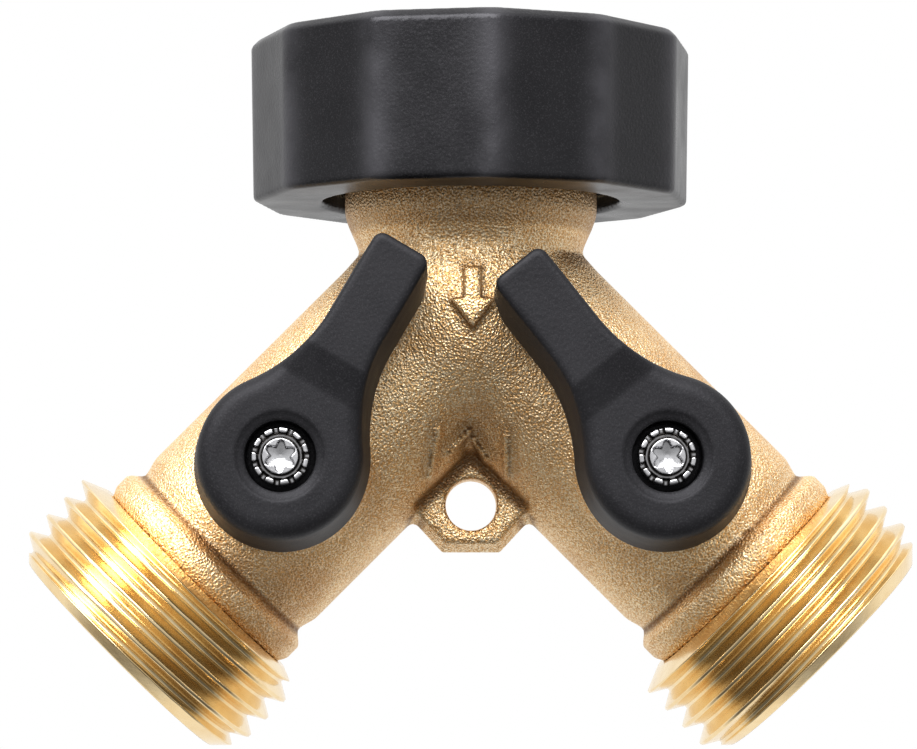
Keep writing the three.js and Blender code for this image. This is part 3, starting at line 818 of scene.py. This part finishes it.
def build_insert():
    """Brass insert of the nut: a tube with the female thread, over a flange that rides on the neck."""
    angle = angles_round(INSERT_COLUMNS)
    rows = [
        (NECK_R + 0.3, INSERT_BOTTOM),
        (INSERT_R - 0.3, INSERT_BOTTOM),
        (INSERT_R, INSERT_BOTTOM + 0.3),
        (INSERT_R, INSERT_TOP - 0.25),
        (INSERT_R - 0.25, INSERT_TOP),
        (FEMALE_ROOT + 0.55, INSERT_TOP),
        (FEMALE_ROOT + 0.4, INSERT_TOP - 0.1),
    ]
    for height in np.arange(INSERT_TOP - 0.6, WASHER_TOP - 0.25, -INSERT_ROW):
        crest = thread_height(angle, height, WASHER_TOP + 1.0, INSERT_TOP - 1.2)
        rows.append((FEMALE_ROOT - (FEMALE_ROOT - FEMALE_CREST) * crest, height))
    flange = INSERT_BOTTOM + 1.4
    rows += [
        (WASHER_SEAT_R, WASHER_TOP - 0.3),
        (WASHER_SEAT_R, flange + 0.2),
        (WASHER_SEAT_R - 0.2, flange),
        (NECK_R + 0.45, flange),
        (NECK_R + 0.3, flange - 0.15),
    ]
    turned_mesh("nut_thread_insert", rows, INSERT_COLUMNS, INNER_BRASS,
                "swivel_nut", "nut_insert")


def build_washer():
    """Hose washer: a rubber ring with rounded edges and a shallow groove moulded in its top face."""
    outer, inner = WASHER_OUTER - WASHER_EDGE, WASHER_INNER + WASHER_EDGE
    low, high = WASHER_BOTTOM + WASHER_EDGE, WASHER_TOP - WASHER_EDGE
    groove = [(10.4, WASHER_TOP), (10.1, WASHER_TOP - 0.2), (9.5, WASHER_TOP - 0.2), (9.2, WASHER_TOP)]
    corners = [(outer, low, -90), (outer, high, 0), (inner, high, 90), (inner, low, 180)]
    profile = []
    for radius, height, start in corners:
        if start == 90:
            profile += groove
        for step in range(5):
            turn = math.radians(start + step * 22.5)
            profile.append((radius + WASHER_EDGE * math.cos(turn), height + WASHER_EDGE * math.sin(turn)))
    turned_mesh("hose_washer", profile, WASHER_COLUMNS, BLACK_RUBBER,
                "valve_body", "inlet_washer")


# ---- handles -----------------------------------------------------------------------------------
def lever_outline(u, v):
    """Field of the teardrop outline at the front: a boss circle flared into a straight arm."""
    flare = (ARM_FROM ** 2 / (BOSS_R - ARM_HALF) - (BOSS_R + ARM_HALF)) / 2.0
    side = np.abs(v)
    circle = disc(u, side, BOSS_R)
    arm_u = span(u, 0.0, ARM_TIP) + TIP_CORNER
    arm_v = side - ARM_HALF + TIP_CORNER
    outside = np.sqrt(np.maximum(arm_u, 0.0) ** 2 + np.maximum(arm_v, 0.0) ** 2)
    arm = outside + np.minimum(np.maximum(arm_u, arm_v), 0.0) - TIP_CORNER
    fillet = flare - np.sqrt((u - ARM_FROM) ** 2 + (side - ARM_HALF - flare) ** 2)
    meet_u = ARM_FROM * BOSS_R / (BOSS_R + flare)
    in_zone = (u < ARM_FROM) & (u > meet_u)
    wedge = np.where(in_zone, fillet, FAR)
    return np.minimum(np.minimum(circle, arm), wedge)


def lever_field(across, up, depth):
    """Drafted lever: a domed boss with a screw recess and hollow skirt, and an arm cored from behind."""
    share = np.clip((ARM_FACE - depth) / (ARM_FACE - SKIRT), 0.0, 1.0)
    sag = 0.5 * DRAFT * share * (1.0 - ramp(up, 0.0, 6.5))
    outline = lever_outline(up + sag, across)
    tip = ramp(up, ARM_TIP - 3.0, ARM_TIP)
    wall = outline - DRAFT * share * (1.0 - tip)
    wall = np.maximum(wall, up - ARM_TIP)
    face = BOSS_FACE + (ARM_FACE - BOSS_FACE) * np.clip((up - 6.6) / 3.0, 0.0, 1.0)
    rounding = 0.6 + 1.0 * (1.0 - ramp(up, 5.0, 9.0))
    solid = smooth_max(wall, (depth - face) * 0.97, rounding)
    solid = smooth_max(solid, SKIRT - depth, 0.4)
    rho = np.sqrt(across * across + up * up)
    cavity = np.maximum(rho - SKIRT_BORE_R, depth - SKIRT_BORE_TOP)
    dish = rho - RECESS_R - RECESS_FLARE * ramp(depth, BOSS_FACE - 0.5, BOSS_FACE - 0.1)
    recess = np.maximum(dish, RECESS_FLOOR - depth)
    hole = rho - SCREW_HOLE_R
    hollow = np.minimum(np.minimum(cavity, recess), hole)
    for low, high in ((9.0, 13.6), (14.8, 19.2)):
        core = np.maximum(np.maximum(span(up, low, high), np.abs(across) - 1.45), depth - 20.6)
        hollow = np.minimum(hollow, core)
    return smooth_max(solid, -hollow, 0.3)


def build_handle(side):
    """One plastic lever, meshed upright and then turned to its angle at rest."""
    low = (-9.0, -9.0, SKIRT)
    high = (9.0, ARM_TIP + 0.3, ARM_FACE)
    points, faces = net_of_field(lever_field, low, high, LEVER_GRID)
    points = stem_to_world(points, side, REST_ANGLE[side])
    make_mesh(f"{side}_lever", points, face_out(points, faces), LEVER_PLASTIC,
              f"{side}_handle", [f"{side}_handle"])


def screw_field(across, up, depth):
    """Cap screw: a rim cut by notches, a sunk ring inside it, and a six-lobed socket."""
    rho = np.sqrt(across * across + up * up)
    angle = np.arctan2(up, across)
    step = 2.0 * math.pi / RIM_NOTCHES
    off_notch = np.abs(np.mod(angle + 0.3, step) - step / 2.0) * rho
    notch = np.maximum(off_notch - NOTCH_HALF, NOTCH_FROM - rho)
    rim = smooth_max(rho - HEAD_R, span(depth, HEAD_FROM, HEAD_TOP), 0.3)
    rim = smooth_max(rim, -np.maximum(notch, HEAD_TOP - NOTCH_DEPTH - depth), 0.12)
    sunk = np.maximum(np.abs(rho - RING_R) - RING_HALF, HEAD_TOP - RING_DEPTH - depth)
    head = smooth_max(rim, -sunk, 0.15)
    lobes = rho - SOCKET_R - SOCKET_LOBE * np.cos(6.0 * angle + 0.4)
    floor = HEAD_TOP - SOCKET_DEPTH - 0.25 * (1.4 - rho) - depth
    head = smooth_max(head, -np.maximum(lobes, floor), 0.15)
    shank = np.maximum(rho - SHANK_R, span(depth, SHANK_FROM, HEAD_FROM + 0.3))
    return np.minimum(head, shank)


def build_screw(side):
    """One lever's screw, with its recesses marked for painted shade."""
    low = (-HEAD_R, -HEAD_R, SHANK_FROM - 0.1)
    high = (HEAD_R, HEAD_R, HEAD_TOP)
    points, faces = net_of_field(screw_field, low, high, SCREW_GRID)
    placed = stem_to_world(points, side, REST_ANGLE[side])
    piece = make_mesh(f"{side}_screw", placed, face_out(placed, faces), SCREW_STEEL,
                      f"{side}_handle", [f"{side}_handle_screw"])
    # painted shade in the screw's notches, ring and socket
    store(piece, "painted_shade", enclosure(screw_field, points, 0.35))


# ---- plain turned pieces that keep their CAD mesh ----------------------------------------------
def dress_cad_nodes():
    """Gives materials to the CAD nodes that no detailed piece replaces."""
    looks = {"nut_snap_ring": SPRING_STEEL}
    for side in SIDES:
        looks.update({
            f"{side}_ball": CHROME,
            f"{side}_inner_seat": WHITE_PTFE,
            f"{side}_outer_seat": WHITE_PTFE,
            f"{side}_seat_retainer": INNER_BRASS,
            f"{side}_stem": INNER_BRASS,
            f"{side}_stem_thrust_washer": WHITE_PTFE,
            f"{side}_stem_o_ring_inner": BLACK_RUBBER,
            f"{side}_stem_o_ring_outer": BLACK_RUBBER,
            f"{side}_handle_lock_washer": SCREW_STEEL,
        })
    for node, look in looks.items():
        for slot in frame["nodes"][node].material_slots:
            slot.material = look


build_body()
build_nut()
build_insert()
build_washer()
for side_name in SIDES:
    build_thread(side_name)
    build_handle(side_name)
    build_screw(side_name)
dress_cad_nodes()


# ---- stage, light and camera -------------------------------------------------------------------
FLOOR_Z = -0.9
FLOOR_HALF = 2.0
FLOOR_WHITE = 0.92
KEY_PLACE = (-0.13, -0.42, 0.36)
KEY_AIM = (0.0, 0.0, -0.03)
KEY_SIZE = (0.8, 0.4)
KEY_WATTS = 7.3
LENS = 143.7
CAMERA_X = -0.00413
CAMERA_Y = -0.33125
CAMERA_UNDER_JUNCTION = 30.76
CAMERA_PITCH = 4.21
CAMERA_YAW = -0.52


def build_floor():
    """Plain pale floor, well below the object so that it can be seen from underneath."""
    material = bpy.data.materials.new("floor_paint")
    material.use_nodes = True
    shader = material.node_tree.nodes["Principled BSDF"]
    shader.inputs["Base Color"].default_value = (FLOOR_WHITE, FLOOR_WHITE, FLOOR_WHITE, 1.0)
    shader.inputs["Roughness"].default_value = 0.9
    shader.inputs["Specular IOR Level"].default_value = 0.1
    mesh = bpy.data.meshes.new("floor")
    half = FLOOR_HALF
    corners = [(-half, -half, 0), (half, -half, 0), (half, half, 0), (-half, half, 0)]
    mesh.from_pydata(corners, [], [(0, 1, 2, 3)])
    mesh.materials.append(material)
    floor = bpy.data.objects.new("floor", mesh)
    bpy.context.scene.collection.objects.link(floor)
    floor.location = (0.0, 0.0, FLOOR_Z)
    floor.visible_glossy = False


def build_key_light():
    """One large soft lamp above and in front of the object."""
    data = bpy.data.lights.new("key", "AREA")
    data.shape = "RECTANGLE"
    data.size, data.size_y = KEY_SIZE
    data.energy = KEY_WATTS
    lamp = bpy.data.objects.new("key", data)
    bpy.context.scene.collection.objects.link(lamp)
    lamp.location = KEY_PLACE
    aim = Vector(KEY_AIM) - Vector(KEY_PLACE)
    lamp.rotation_euler = aim.to_track_quat("-Z", "Y").to_euler()


def build_world():
    """Room with a white back wall and ceiling and a front wall that darkens up and down.

    It lights the object, but the camera sees plain white.
    """
    world = bpy.data.worlds.new("studio")
    bpy.context.scene.world = world
    n = Nodes(world)
    direction = n.add("ShaderNodeSeparateXYZ")
    n.link(n.tree.nodes["Texture Coordinate"].outputs["Generated"], direction.inputs["Vector"])
    back = n.band(direction.outputs["Y"], -0.1, 0.35)
    ceiling = n.band(direction.outputs["Z"], 0.35, 0.8, 0.0, 1.5)
    wall = n.band(direction.outputs["Z"], -0.7, 0.1, 0.15, 0.9)
    wall = n.math("MINIMUM", wall, n.band(direction.outputs["Z"], 0.08, 0.32, 0.9, 0.5))
    room = n.math("MAXIMUM", n.math("MAXIMUM", back, ceiling), wall)
    seen = n.add("ShaderNodeLightPath").outputs["Is Camera Ray"]
    strength = n.math("MAXIMUM", room, seen)
    n.link(strength, n.tree.nodes["Background"].inputs["Strength"])
    n.tree.nodes["Background"].inputs["Color"].default_value = (1.0, 1.0, 1.0, 1.0)


def build_camera():
    """Long lens, placed to match the photograph's outlines."""
    data = bpy.data.cameras.new("camera")
    data.sensor_width = 36.0
    data.lens = LENS
    data.clip_start = 0.01
    data.clip_end = 50.0
    camera = bpy.data.objects.new("camera", data)
    bpy.context.scene.collection.objects.link(camera)
    camera.location = (CAMERA_X, CAMERA_Y, (JUNCTION_Z - CAMERA_UNDER_JUNCTION) * MM)
    camera.rotation_euler = (math.radians(90 + CAMERA_PITCH), 0.0, math.radians(CAMERA_YAW))
    bpy.context.scene.camera = camera


build_floor()
build_world()
build_key_light()
build_camera()
bpy.context.scene.view_settings.view_transform = "Standard"
bpy.context.scene.view_settings.look = "None"
bpy.context.scene.view_settings.gamma = 0.88
